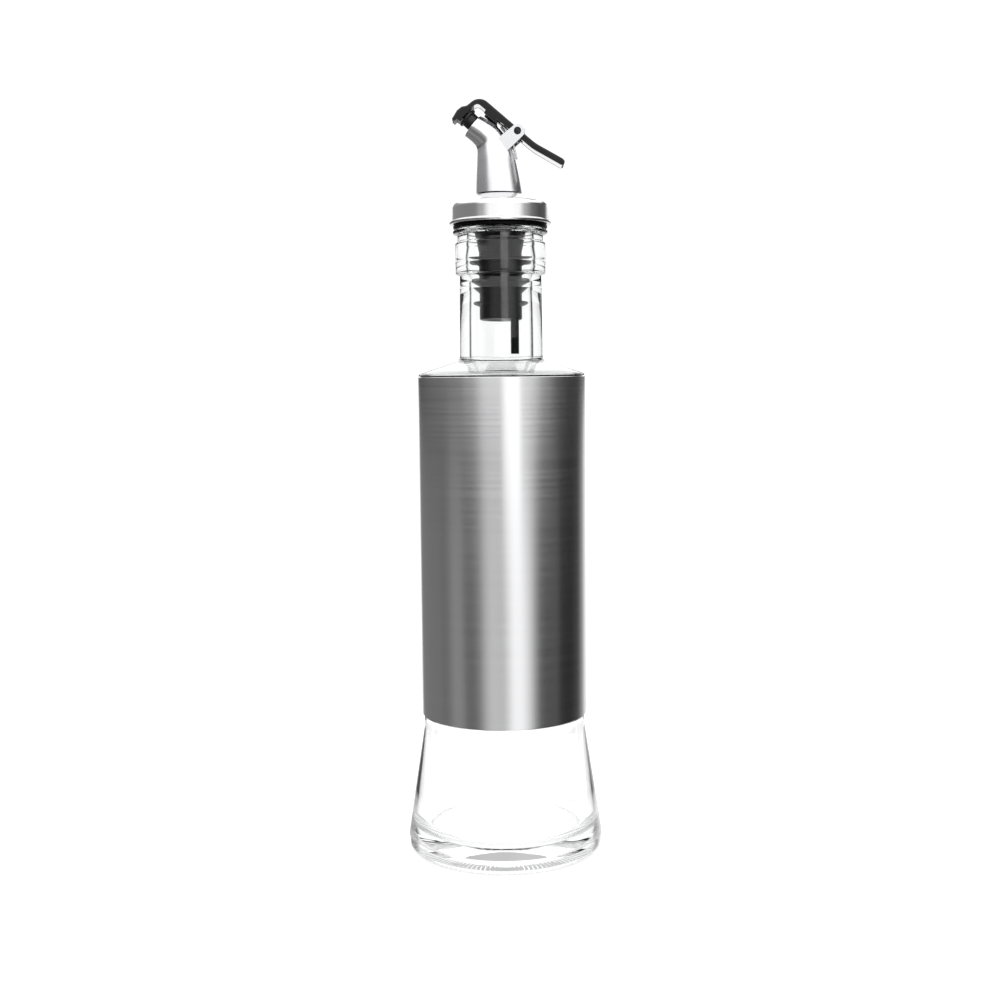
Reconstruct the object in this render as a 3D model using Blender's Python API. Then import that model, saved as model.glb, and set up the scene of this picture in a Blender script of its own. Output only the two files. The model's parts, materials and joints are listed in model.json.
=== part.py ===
"""Glass oil bottle with a steel sleeve and a lever pourer, as separate named pieces.

Metres, +Z up, +X away from the pouring side. The origin is the centre of the base, on the
surface that the bottle stands on. The mouth of the spout points to -X, and the lever turns
on a pin that runs along Y.
"""

import math

import bmesh
import bpy
from mathutils import Matrix, Vector

MM = 0.001
GAP = 0.3                 # left between pieces that touch
FINE_GAP = 0.2            # the same, between the small pieces of the lever

# Driving dimensions, in millimetres.
BASE_R = 35.8             # widest radius, at the heel
HEEL_H = 5.6              # height of the heel band
FOOT_R = 33.8             # outer radius of the ring that it stands on
SLEEVE_R = 30.2           # outside of the steel sleeve
SLEEVE_T = 0.45           # sheet thickness
SLEEVE_LOW = 50.2
SLEEVE_TOP = 173.5
SEAM_W = 0.4              # butt seam at the back of the sleeve
WALL = 3.2                # glass wall
FLOOR = 7.0               # top of the glass floor
SHOULDER_SLOPE = 0.335    # rise over run
NECK_R = 14.95
NECK_TOP = 209.8
COLLAR_R = 16.15
COLLAR_TOP = 221.4
GROOVE_R = 15.35
LIP_R = 17.0
LIP_LOW = 224.4
LIP_TOP = 226.1
MOUTH_R = 11.5            # bore at the mouth
POCKET_R = 12.0           # widest part of the bore, behind the collar
BORE_R = 11.0             # bore of the neck

FLANGE_R = 16.9           # rubber flange that rests on the lip
FLANGE_T = 1.1
STOPPER_R = 7.7
STOPPER_LOW = 194.4
STOPPER_BORE_R = 5.9
STOPPER_FLOOR_T = 6.0
FINS = ((215.6, 11.2), (211.0, 10.5), (207.2, 10.4), (200.6, 9.9))   # top height, radius
FIN_TIP_T = 0.5
FIN_DROP = 3.0            # height of the cone under a fin
POUR_HOLE_R = 3.0
POUR_HOLE_X = -2.2
TUBE_X = 5.0              # breather tube, on the side away from the mouth
TUBE_R = 1.5
TUBE_BORE_R = 0.95
TUBE_LOW = 181.6
TUBE_SEAT = 4.0           # how far the tube goes into the stopper

CAP_R = 17.4
CAP_T = 0.6
CAP_BEAD_R = 18.2
CAP_LOW = 227.8
CAP_SHOULDER = 235.3      # top of the cap's side
CAP_CROWN = 238.5         # top of the dome, under the spout
CAP_HOLE_R = 6.6
CORE_SPIGOT_R = 5.6
CORE_BORE_R = 4.0
CORE_LOW = 203.0
CORE_HIGH = 244.0

# Stations of the spout: centre x and z, tilt of the section towards -X in degrees, radius.
SPOUT = (
    (-0.2, 238.8, 0.0, 8.4),
    (-0.75, 245.0, 5.0, 7.7),
    (-1.45, 251.4, 11.0, 6.8),
    (-2.6, 256.4, 14.0, 5.65),
    (-4.65, 259.3, 29.0, 5.25),
    (-7.1, 261.25, 39.0, 4.85),
    (-9.4, 262.75, 50.0, 4.45),
)
SPOUT_WALL = 1.25
NOZZLE_R = 2.45           # bore of the mouth
NOZZLE_SHIFT = 0.75       # its offset from the middle of the mouth, towards the back

PIVOT_X = 6.45
PIVOT_Z = 260.15
PIN_R = 0.7
PIN_HOLE_R = 0.88
PIN_HEAD_R = 1.3
PIN_HEAD_T = 0.5
EAR_IN = 4.3              # inner faces of the bracket's ears
EAR_T = 0.7
EAR_R = 2.6

LEVER_HALF = 3.8          # half width, from the head to the pin
TAIL_HALF = 4.4           # half width of the tail
TAIL_STEPS = ((10.5, 0.0), (13.2, 0.25), (16.3, 0.75), (19.0, 1.0))    # x, share of the widening
STRIP_T = 0.4
STRIP_SEAT = 0.05         # how far the strip is sunk into the underside
STRIP_LIP = 0.45          # width of the cover's lips on both sides of the strip
CHEEK_T = 0.7
HUB_R = 2.3
SPRING_SLOT = 1.9         # half width of the slot for the spring

WIRE_R = 0.4
COIL_R = 1.45
COIL_TURNS = 3
COIL_PITCH = 0.88

SEAL_R = 2.9
SEAL_FLANGE_R = 3.6
SEAL_H = 3.4
SEAL_FLANGE_T = 1.0
SEAL_STEM_R = 1.2
SEAL_STEM_H = 1.6


# ---------------------------------------------------------------- outlines

def rounded(corners, steps=4):
    """A closed outline from corners (a, b, radius), with an arc at each corner that has a radius."""
    outline = []
    count = len(corners)
    for i, (a, b, radius) in enumerate(corners):
        here = Vector((a, b))
        back = Vector(corners[i - 1][:2]) - here
        ahead = Vector(corners[(i + 1) % count][:2]) - here
        if radius <= 0:
            outline.append(here)
            continue
        back.normalize()
        ahead.normalize()
        half = back.angle(ahead) / 2
        run = radius / math.tan(half)
        centre = here + (back + ahead).normalized() * (radius / math.sin(half))
        start = here + back * run - centre
        end = here + ahead * run - centre
        sweep = start.angle_signed(end)
        for k in range(steps + 1):
            outline.append(centre + Matrix.Rotation(-sweep * k / steps, 2) @ start)
    return outline


def lever_half_width(x):
    """The lever widens towards the end of its tail, in straight steps."""
    for (x0, share0), (x1, share1) in zip(TAIL_STEPS, TAIL_STEPS[1:]):
        if x0 <= x <= x1:
            share = share0 + (share1 - share0) * (x - x0) / (x1 - x0)
            return LEVER_HALF + (TAIL_HALF - LEVER_HALF) * share
    return TAIL_HALF if x > x1 else LEVER_HALF


# ---------------------------------------------------------------- objects

def clear_scene():
    for obj in list(bpy.data.objects):
        bpy.data.objects.remove(obj, do_unlink=True)


def finish(name, colour, metallic=0.0, roughness=0.5, transmission=0.0):
    material = bpy.data.materials.new(name)
    material.use_nodes = True
    shader = material.node_tree.nodes["Principled BSDF"]
    shader.inputs["Base Color"].default_value = (*colour, 1.0)
    shader.inputs["Metallic"].default_value = metallic
    shader.inputs["Roughness"].default_value = roughness
    shader.inputs["Transmission Weight"].default_value = transmission
    return material


def add(name, bm, material=None, sharp=32.0):
    """Makes an object of a bmesh in millimetres, with its faces out and its shading smooth."""
    bmesh.ops.remove_doubles(bm, verts=bm.verts, dist=1e-4)
    bmesh.ops.recalc_face_normals(bm, faces=bm.faces)
    bmesh.ops.scale(bm, vec=(MM, MM, MM), verts=bm.verts)
    mesh = bpy.data.meshes.new(name)
    bm.to_mesh(mesh)
    bm.free()
    mesh.shade_smooth()
    mesh.set_sharp_from_angle(angle=math.radians(sharp))
    obj = bpy.data.objects.new(name, mesh)
    bpy.context.scene.collection.objects.link(obj)
    if material:
        mesh.materials.append(material)
    return obj


def as_cutter(obj):
    obj.hide_render = True
    obj.display_type = "WIRE"
    return obj


def boolean(obj, other, operation="DIFFERENCE"):
    modifier = obj.modifiers.new(other.name, "BOOLEAN")
    modifier.operation = operation
    modifier.solver = "EXACT"
    modifier.object = as_cutter(other)


def turned(name, profile, material=None, segments=40, closed=True, centre=(0.0, 0.0)):
    """A solid of revolution about the vertical axis through centre, from a profile of (r, z)."""
    bm = bmesh.new()
    verts = [bm.verts.new((r, 0.0, z)) for r, z in profile]
    pairs = list(zip(verts, verts[1:]))
    if closed:
        pairs.append((verts[-1], verts[0]))
    edges = [bm.edges.new(pair) for pair in pairs]
    bmesh.ops.spin(
        bm,
        geom=verts + edges,
        cent=(0, 0, 0),
        axis=(0, 0, 1),
        angle=math.tau,
        steps=segments,
        use_merge=True,
    )
    bmesh.ops.remove_doubles(bm, verts=bm.verts, dist=1e-4)
    bmesh.ops.translate(bm, vec=(*centre, 0.0), verts=bm.verts)
    return add(name, bm, material)


def extruded(name, outline, half_width, material=None):
    """An outline in X and Z, extruded along Y to half_width on both sides, which may follow x."""
    bm = bmesh.new()
    bm.faces.new([bm.verts.new((x, -1.0, z)) for x, z in outline])
    for x, _ in TAIL_STEPS if callable(half_width) else ():
        whole = bm.verts[:] + bm.edges[:] + bm.faces[:]
        bmesh.ops.bisect_plane(bm, geom=whole, plane_co=(x, 0, 0), plane_no=(1, 0, 0))
    far = bmesh.ops.extrude_face_region(bm, geom=bm.faces[:])["geom"]
    bmesh.ops.translate(bm, vec=(0, 2.0, 0), verts=[v for v in far if isinstance(v, bmesh.types.BMVert)])
    for v in bm.verts:
        v.co.y *= half_width(v.co.x) if callable(half_width) else half_width
    return add(name, bm, material)


def block(name, low, high):
    bm = bmesh.new()
    bmesh.ops.create_cube(bm, size=1.0)
    size = [b - a for a, b in zip(low, high)]
    middle = [(a + b) / 2 for a, b in zip(low, high)]
    bmesh.ops.scale(bm, vec=size, verts=bm.verts)
    bmesh.ops.translate(bm, vec=middle, verts=bm.verts)
    return add(name, bm)


def rod(name, x, z, radius, half_length, material=None, segments=20):
    """A round rod along Y, through x and z."""
    bm = bmesh.new()
    bmesh.ops.create_cone(
        bm,
        cap_ends=True,
        segments=segments,
        radius1=radius,
        radius2=radius,
        depth=2 * half_length,
        matrix=Matrix.Translation((x, 0, z)) @ Matrix.Rotation(math.pi / 2, 4, "X"),
    )
    return add(name, bm, material)


def ring(bm, x, z, tilt, radius, segments=28):
    """A circle about (x, z), its plane tilted towards -X by tilt degrees. Returns its edges."""
    place = Matrix.Translation((x, 0, z)) @ Matrix.Rotation(-math.radians(tilt), 4, "Y")
    made = bmesh.ops.create_circle(bm, segments=segments, radius=radius, matrix=place)
    return list({edge for v in made["verts"] for edge in v.link_edges})


def tube_of_rings(name, rings, closed, material=None):
    """Bridges a chain of circles: into a closed hollow tube, or into a solid with two caps."""
    bm = bmesh.new()
    loops = [ring(bm, *station) for station in rings]
    pairs = list(zip(loops, loops[1:]))
    if closed:
        pairs.append((loops[-1], loops[0]))
    for low, high in pairs:
        bmesh.ops.bridge_loops(bm, edges=low + high)
    if not closed:
        bmesh.ops.holes_fill(bm, edges=[e for e in bm.edges if e.is_boundary])
    return add(name, bm, material)


# ---------------------------------------------------------------- the bottle

def glass_outside():
    """The outer profile, from the middle of the underside up to the mouth."""
    recess_r = SLEEVE_R - SLEEVE_T - GAP
    shoulder_r = SLEEVE_R - 0.15
    corner_z = SLEEVE_TOP + 0.85
    neck_foot = corner_z + SHOULDER_SLOPE * (shoulder_r - NECK_R)
    corners = [
        (0.0, 2.6, 0),
        (12.0, 2.3, 0),
        (24.0, 1.0, 0),
        (29.5, 0.0, 0),
        (FOOT_R, 0.0, 1.2),
        (BASE_R - 0.3, 1.9, 1.0),
        (BASE_R, HEEL_H, 0.6),
        (30.75, 38.0, 30.0),
        (SLEEVE_R - 0.6, 45.5, 8.0),
        (SLEEVE_R - 0.6, SLEEVE_LOW - GAP, 0),
        (recess_r, SLEEVE_LOW - GAP, 0),
        (recess_r, SLEEVE_TOP + GAP, 0),
        (shoulder_r, SLEEVE_TOP + GAP, 0),
        (shoulder_r, corner_z + 0.1, 0.9),
        (NECK_R, neck_foot, 2.0),
        (NECK_R - 0.3, NECK_TOP, 0),
        (COLLAR_R, NECK_TOP + 0.5, 0.4),
        (COLLAR_R, COLLAR_TOP, 0.4),
        (GROOVE_R, COLLAR_TOP + 0.3, 0),
        (GROOVE_R, LIP_LOW - 0.1, 0),
        (LIP_R, LIP_LOW + 0.1, 0.5),
        (LIP_R, LIP_TOP, 0.6),
        (MOUTH_R + 0.6, LIP_TOP, 0),
    ]
    return corners


def glass_inside():
    """The inner profile, from the mouth down to the middle of the floor."""
    body_r = SLEEVE_R - SLEEVE_T - GAP - WALL + 0.3
    # The shoulder's two faces are parallel.
    shoulder_z = SLEEVE_TOP - 0.3
    return [
        (MOUTH_R, LIP_TOP - 0.6, 0),
        (MOUTH_R, 219.5, 0),
        (POCKET_R, 215.5, 0),
        (POCKET_R, 213.0, 0),
        (BORE_R - 0.15, 207.0, 0),
        (BORE_R, 196.0, 0),
        (BORE_R, shoulder_z + SHOULDER_SLOPE * (body_r - BORE_R), 2.0),
        (body_r, shoulder_z, 3.0),
        (body_r, 46.0, 30.0),
        (BASE_R - WALL - 0.6, FLOOR - 0.4, 6.5),
        (18.0, FLOOR + 0.2, 0),
        (0.0, FLOOR + 1.2, 0),
    ]


def glass_profile():
    corners = glass_outside() + glass_inside()
    # The first and last corners lie on the axis, and have no arc.
    return rounded(corners, steps=3)


def make_bottle():
    glass = finish("clear_glass", (0.96, 0.98, 0.97), 0.0, 0.03, 1.0)
    steel = finish("brushed_steel", (0.62, 0.62, 0.63), 1.0, 0.32)
    turned("glass_bottle", glass_profile(), glass, segments=40, closed=False)

    inner = SLEEVE_R - SLEEVE_T
    curl = 0.2
    sleeve = turned("steel_sleeve", rounded([
        (inner, SLEEVE_LOW, 0),
        (SLEEVE_R, SLEEVE_LOW, curl),
        (SLEEVE_R, SLEEVE_TOP, curl),
        (inner, SLEEVE_TOP, 0),
    ], steps=2), steel, segments=80)
    seam = block("seam_cut", (-SEAM_W / 2, inner - 2, SLEEVE_LOW - 1), (SEAM_W / 2, SLEEVE_R + 2, SLEEVE_TOP + 1))
    boolean(sleeve, seam)


# ---------------------------------------------------------------- the stopper and the cap

def stopper_profile():
    """Outside from the top of the flange down to the foot, then back up the bore."""
    flange_low = LIP_TOP + GAP
    flange_top = flange_low + FLANGE_T
    outline = [
        (STOPPER_BORE_R, flange_top),
        (FLANGE_R - 0.3, flange_top),
        (FLANGE_R, flange_top - 0.3),
        (FLANGE_R, flange_low + 0.2),
        (FLANGE_R - 0.2, flange_low),
        (10.6, flange_low),
        (9.2, flange_low - 1.6),
        (8.3, flange_low - 5.0),
        (STOPPER_R, flange_low - 9.0),
    ]
    for top, radius in FINS:
        outline += [
            (STOPPER_R, top),
            (radius, top),
            (radius, top - FIN_TIP_T),
            (STOPPER_R + 0.6, top - FIN_DROP + 0.8),
            (STOPPER_R, top - FIN_DROP),
        ]
    outline += [
        (STOPPER_R, STOPPER_LOW + 0.4),
        (STOPPER_R - 0.4, STOPPER_LOW),
    ]
    return outline


def make_stopper():
    rubber = finish("black_rubber", (0.018, 0.018, 0.019), 0.0, 0.55)
    floor_top = STOPPER_LOW + STOPPER_FLOOR_T
    profile = [(0.0, floor_top), (STOPPER_BORE_R, floor_top)] + stopper_profile()
    profile.append((0.0, STOPPER_LOW))
    stopper = turned("rubber_stopper", profile, rubber, segments=32, closed=False)
    low, high = STOPPER_LOW - 2.0, floor_top + 2.0
    seat = STOPPER_LOW + TUBE_SEAT
    holes = (
        ("pour_hole", POUR_HOLE_X, POUR_HOLE_R, low, high),
        ("tube_socket", TUBE_X, TUBE_R + 0.15, low, seat + GAP),
        ("air_way", TUBE_X - 0.4, TUBE_BORE_R, seat - 1.0, high),
    )
    for name, x, radius, bottom, top in holes:
        profile = [(0.0, bottom), (radius, bottom), (radius, top), (0.0, top)]
        boolean(stopper, turned(name, profile, segments=16, closed=False, centre=(x, 0.0)))


def make_breather_tube():
    plastic = finish("tube_plastic", (0.02, 0.02, 0.021), 0.0, 0.35)
    top = STOPPER_LOW + TUBE_SEAT
    turned("breather_tube", [
        (TUBE_BORE_R, top),
        (TUBE_R, top),
        (TUBE_R, TUBE_LOW),
        (TUBE_BORE_R, TUBE_LOW),
    ], plastic, segments=16, centre=(TUBE_X, 0.0))


def make_core():
    """The plastic connector: its disc fills the cap, one spigot is in the stopper, one in the spout."""
    plastic = finish("core_plastic", (0.03, 0.03, 0.032), 0.0, 0.5)
    disc_r = CAP_R - CAP_T - GAP
    disc_low = LIP_TOP + GAP + FLANGE_T + GAP
    disc_top = CAP_SHOULDER - CAP_T - GAP
    turned("cap_core", rounded([
        (CORE_BORE_R, CORE_LOW, 0),
        (CORE_SPIGOT_R, CORE_LOW, 0.4),
        (CORE_SPIGOT_R, disc_low, 0),
        (disc_r, disc_low, 0),
        (disc_r, disc_top, 2.0),
        (CAP_HOLE_R + 0.5, disc_top + 1.0, 0),
        (CORE_SPIGOT_R, disc_top + 1.0, 0),
        (CORE_SPIGOT_R, CORE_HIGH, 0.4),
        (CORE_BORE_R, CORE_HIGH, 0),
    ], steps=3), plastic, segments=32)


def make_cap():
    steel = finish("satin_steel", (0.66, 0.66, 0.67), 1.0, 0.3)
    inner = CAP_R - CAP_T
    turned("steel_cap", rounded([
        (inner, CAP_LOW + 0.2, 0),
        (inner + 0.3, CAP_LOW, 0),
        (CAP_BEAD_R, CAP_LOW, 0.4),
        (CAP_BEAD_R, CAP_LOW + 1.1, 0.5),
        (CAP_R, CAP_LOW + 1.1, 0.2),
        (CAP_R, CAP_SHOULDER - 0.1, 2.4),
        (CAP_HOLE_R + 1.9, CAP_CROWN, 1.0),
        (CAP_HOLE_R, CAP_CROWN, 0),
        (CAP_HOLE_R, CAP_CROWN - CAP_T, 0),
        (CAP_HOLE_R + 1.9, CAP_CROWN - CAP_T, 0),
        (inner, CAP_SHOULDER - 0.1 - CAP_T, 1.8),
    ], steps=3), steel, segments=40)


# ---------------------------------------------------------------- the spout and its bracket

# The middle of the mouth's bore. The seal stands on it.
MOUTH_TILT = math.radians(SPOUT[-1][2])
NOZZLE = (
    SPOUT[-1][0] + NOZZLE_SHIFT * math.cos(MOUTH_TILT),
    SPOUT[-1][1] + NOZZLE_SHIFT * math.sin(MOUTH_TILT),
)


def spout_rings(extra):
    """The spout's stations, with extra added to each radius."""
    return [(x, z, tilt, radius + extra) for x, z, tilt, radius in SPOUT]


def make_spout():
    satin = finish("satin_nickel", (0.72, 0.72, 0.74), 1.0, 0.28)
    inside = spout_rings(-SPOUT_WALL)
    inside[-1] = (*NOZZLE, SPOUT[-1][2], NOZZLE_R)
    tube_of_rings("spout_body", spout_rings(0.0) + inside[::-1], True, satin)


def ear_outline():
    """The ear and its foot, which reaches into the spout until the saddle is cut."""
    return rounded([
        (-1.9, 257.6, 0),
        (1.4, 252.2, 0),
        (9.98, 259.77, EAR_R - 0.05),
        (7.09, 263.64, EAR_R - 0.05),
    ], steps=6)


def make_bracket():
    steel = finish("bright_steel", (0.86, 0.86, 0.87), 1.0, 0.16)
    bracket = extruded("hinge_bracket", ear_outline(), EAR_IN + EAR_T, steel)
    # The space between the ears. A short web on the back of the spout joins them.
    room = rounded([
        (0.5, 258.0, 0),
        (2.6, 259.4, 0),
        (4.0, 257.4, 0),
        (1.9, 256.0, 0),
        (0.0, 249.0, 0),
        (14.0, 249.0, 0),
        (14.0, 267.0, 0),
        (-4.0, 267.0, 0),
        (-4.0, 261.0, 0),
    ])
    boolean(bracket, extruded("bracket_room", room, EAR_IN))
    boolean(bracket, tube_of_rings("saddle_cut", spout_rings(GAP), False))
    boolean(bracket, rod("ear_holes", PIVOT_X, PIVOT_Z, PIN_HOLE_R, EAR_IN + EAR_T + 1))


def make_pin():
    steel = finish("dark_steel", (0.08, 0.08, 0.085), 1.0, 0.35)
    head_in = EAR_IN + EAR_T + FINE_GAP
    head_out = head_in + PIN_HEAD_T
    bm = bmesh.new()
    profile = [
        (0.0, -head_out),
        (PIN_HEAD_R - 0.25, -head_out),
        (PIN_HEAD_R, -head_out + 0.25),
        (PIN_HEAD_R, -head_in),
        (PIN_R, -head_in),
        (PIN_R, head_in),
        (PIN_HEAD_R, head_in),
        (PIN_HEAD_R, head_out - 0.25),
        (PIN_HEAD_R - 0.25, head_out),
        (0.0, head_out),
    ]
    verts = [bm.verts.new((r, y, 0.0)) for r, y in profile]
    edges = [bm.edges.new(pair) for pair in zip(verts, verts[1:])]
    bmesh.ops.spin(
        bm,
        geom=verts + edges,
        cent=(0, 0, 0),
        axis=(0, 1, 0),
        angle=math.tau,
        steps=20,
        use_merge=True,
    )
    pin = add("pivot_pin", bm, steel)
    pin.location = (PIVOT_X * MM, 0.0, PIVOT_Z * MM)


def spring_route():
    """The wire: up the back of the spout, round the pin, and out to the lever, in millimetres."""
    first_y = -COIL_PITCH * COIL_TURNS / 2
    last_y = -first_y
    route = [
        (6.25, first_y, 250.7),
        (5.6, first_y, 253.0),
        (4.9, first_y, 255.6),
        (4.85, first_y, 257.2),
        (4.95, first_y, 258.8),
    ]
    # The coil starts on the pin's left side, and ends half a turn further, under the pin.
    turns = COIL_TURNS - 0.25
    steps = 12 * COIL_TURNS
    for k in range(steps + 1):
        angle = math.pi - math.tau * turns * k / steps
        y = first_y + (last_y - first_y) * k / steps
        route.append((PIVOT_X + COIL_R * math.cos(angle), y, PIVOT_Z + COIL_R * math.sin(angle)))
    route += [
        (4.7, last_y, 258.85),
        (3.3, last_y, 259.6),
        (2.3, last_y, 260.5),
        (1.2, last_y, 261.9),
        (0.7, last_y, 262.7),
    ]
    return route


def make_spring():
    steel = finish("spring_steel", (0.7, 0.7, 0.72), 1.0, 0.2)
    route = spring_route()
    curve = bpy.data.curves.new("torsion_spring", "CURVE")
    curve.dimensions = "3D"
    curve.bevel_depth = WIRE_R * MM
    curve.bevel_resolution = 2
    curve.use_fill_caps = True
    spline = curve.splines.new("POLY")
    spline.points.add(len(route) - 1)
    for point, place in zip(spline.points, route):
        point.co = (*(Vector(place) * MM), 1.0)
    curve.materials.append(steel)
    obj = bpy.data.objects.new("torsion_spring", curve)
    bpy.context.scene.collection.objects.link(obj)


# ---------------------------------------------------------------- the lever

def lever_underside(height, start=0.0):
    """The corners of the lever's underside from the arch to the tail, moved up into it by height.

    The first corner can lie further along, by start.
    """
    return [
        (-9.2 - height * 0.70 + start * 0.72, 268.9 + height * 0.72 + start * 0.70, 0),
        (-7.85, 270.3 + height * 1.36, 1.6 + height),
        (11.9 + height * 0.57, 253.9 + height * 0.82, 14.0),
        (22.6 + height * 0.5, 247.77 + height * 0.87, 0),
    ]


def cover_outline():
    under = lever_underside(0.0)
    under[-1] = (23.0, 247.54, 1.0)
    over = [
        (23.2, 250.2, 1.5),
        (13.0, 256.0, 20.0),
        (-6.88, 273.04, 4.5),
        (-11.5, 269.4, 1.5),
        (-13.3, 269.1, 1.0),
        (-15.0, 267.8, 1.2),
        (-16.85, 264.8, 0.5),
        (-16.0, 263.7, 0.45),
        (-15.0, 264.7, 0.2),
        (-14.3, 263.9, 0.45),
    ]
    return rounded(under + over, steps=4)


def cheek_outline():
    """The side walls under the arch, which run close over the back of the spout."""
    return rounded([
        (-5.4, 266.7, 0.3),
        (-3.7, 265.2, 1.5),
        (-0.4, 262.3, 0.3),
        (-1.0, 265.0, 0),
        (-3.0, 267.0, 0),
        (-4.4, 268.2, 0),
    ], steps=2)


def make_hub():
    """The eye round the pin, cut off flush with the underside."""
    hub = rod("hub", PIVOT_X, PIVOT_Z, HUB_R, LEVER_HALF - 0.02, segments=24)
    below = rounded([
        (1.0, 262.98, 0),
        (11.0, 254.68, 0),
        (7.0, 250.0, 0),
        (-1.0, 256.0, 0),
    ])
    boolean(hub, extruded("below_hub", below, LEVER_HALF + 1))
    return hub


def make_cheeks():
    cheeks = extruded("cheeks", cheek_outline(), LEVER_HALF - 0.02)
    between = rounded([
        (-7.0, 264.0, 0),
        (0.5, 259.0, 0),
        (0.5, 265.0, 0),
        (-6.0, 271.0, 0),
    ])
    boolean(cheeks, extruded("cheek_room", between, LEVER_HALF - CHEEK_T))
    return cheeks


def strip_half_width(x):
    return lever_half_width(x) - STRIP_LIP


def make_lever_cover():
    plastic = finish("black_plastic", (0.045, 0.045, 0.048), 0.0, 0.38)
    cover = extruded("lever_cover", cover_outline(), lever_half_width, plastic)
    boolean(cover, make_cheeks(), "UNION")
    boolean(cover, make_hub(), "UNION")
    pocket_top = STRIP_SEAT + STRIP_T + FINE_GAP
    pocket = rounded(lever_underside(-1.0, 0.3)[::-1] + lever_underside(pocket_top, 0.3), steps=4)
    boolean(cover, extruded("strip_pocket", pocket, strip_half_width))
    boolean(cover, rod("pin_bore", PIVOT_X, PIVOT_Z, PIN_HOLE_R, LEVER_HALF + 1))
    low = (PIVOT_X - 2.1, -SPRING_SLOT, PIVOT_Z - 4.0)
    high = (PIVOT_X + 2.1, SPRING_SLOT, PIVOT_Z + 4.0)
    boolean(cover, block("coil_slot", low, high))
    socket_r = SEAL_STEM_R + FINE_GAP
    socket_top = SEAL_H + SEAL_STEM_H + FINE_GAP
    socket = turned("stem_socket", [
        (0.0, SEAL_H - 0.5),
        (socket_r, SEAL_H - 0.5),
        (socket_r, socket_top),
        (0.0, socket_top),
    ], segments=16, closed=False)
    stand_on_mouth(socket)
    boolean(cover, socket)


def make_lever_strip():
    steel = finish("lever_steel", (0.84, 0.84, 0.85), 1.0, 0.14)
    top = lever_underside(STRIP_SEAT + STRIP_T, 0.3 + FINE_GAP)[:-1]
    top.append((22.38, 248.32, 0))
    bottom = lever_underside(STRIP_SEAT, 0.3 + FINE_GAP)[:-1]
    bottom.append((22.18, 248.05, 0))
    outline = rounded(bottom[::-1] + top, steps=4)
    strip = extruded("lever_strip", outline, lambda x: strip_half_width(x) - FINE_GAP, steel)
    low = (-0.4, -SPRING_SLOT, PIVOT_Z - 8.0)
    high = (PIVOT_X + 1.9, SPRING_SLOT, PIVOT_Z + 6.0)
    boolean(strip, block("spring_window", low, high))


# The seal stands on the nozzle, nearly along its axis.
SEAL_TILT = math.radians(46.0)


def stand_on_mouth(obj):
    x = NOZZLE[0] - GAP * math.sin(MOUTH_TILT)
    z = NOZZLE[1] + GAP * math.cos(MOUTH_TILT)
    obj.location = (x * MM, 0.0, z * MM)
    obj.rotation_euler = (0.0, -SEAL_TILT, 0.0)


def make_seal():
    rubber = finish("seal_rubber", (0.02, 0.02, 0.021), 0.0, 0.5)
    flange_low = SEAL_H - SEAL_FLANGE_T
    seal = turned("nozzle_seal", [
        (0.0, 0.0),
        (SEAL_R - 0.3, 0.0),
        (SEAL_R, 0.3),
        (SEAL_R, flange_low),
        (SEAL_FLANGE_R - 0.2, flange_low),
        (SEAL_FLANGE_R, flange_low + 0.2),
        (SEAL_FLANGE_R, SEAL_H - 0.2),
        (SEAL_FLANGE_R - 0.2, SEAL_H),
        (SEAL_STEM_R, SEAL_H),
        (SEAL_STEM_R, SEAL_H + SEAL_STEM_H),
        (0.0, SEAL_H + SEAL_STEM_H),
    ], rubber, segments=24, closed=False)
    stand_on_mouth(seal)


def main():
    clear_scene()
    make_bottle()
    make_stopper()
    make_breather_tube()
    make_core()
    make_cap()
    make_spout()
    make_bracket()
    make_pin()
    make_spring()
    make_lever_cover()
    make_lever_strip()
    make_seal()


main()
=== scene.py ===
"""A clear glass oil bottle with a brushed steel sleeve, a rubber stopper and a lever pourer.

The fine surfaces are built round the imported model, piece by piece, and laid out as an add-on
with one operator for each piece or group of like pieces. Lengths in the code are millimetres,
unless a property says otherwise, and become metres when a mesh is finished.
"""

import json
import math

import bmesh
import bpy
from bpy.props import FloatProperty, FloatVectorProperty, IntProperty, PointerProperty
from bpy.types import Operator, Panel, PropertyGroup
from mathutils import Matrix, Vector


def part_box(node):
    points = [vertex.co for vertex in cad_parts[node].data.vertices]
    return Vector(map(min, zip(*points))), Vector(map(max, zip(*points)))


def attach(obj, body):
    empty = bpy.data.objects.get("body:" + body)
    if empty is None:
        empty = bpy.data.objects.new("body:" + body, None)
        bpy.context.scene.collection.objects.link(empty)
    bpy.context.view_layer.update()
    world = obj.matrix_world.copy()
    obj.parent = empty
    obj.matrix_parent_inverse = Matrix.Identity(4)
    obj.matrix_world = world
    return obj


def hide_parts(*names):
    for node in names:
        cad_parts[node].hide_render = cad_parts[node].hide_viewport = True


bl_info = {
    "name": "Lever-pour oil bottle",
    "version": (1, 0, 0),
    "blender": (4, 5, 0),
    "location": "View3D > Sidebar > Oil Bottle",
    "description": "Builds a glass oil bottle with a steel sleeve and a lever pourer",
    "category": "Object",
}

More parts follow.
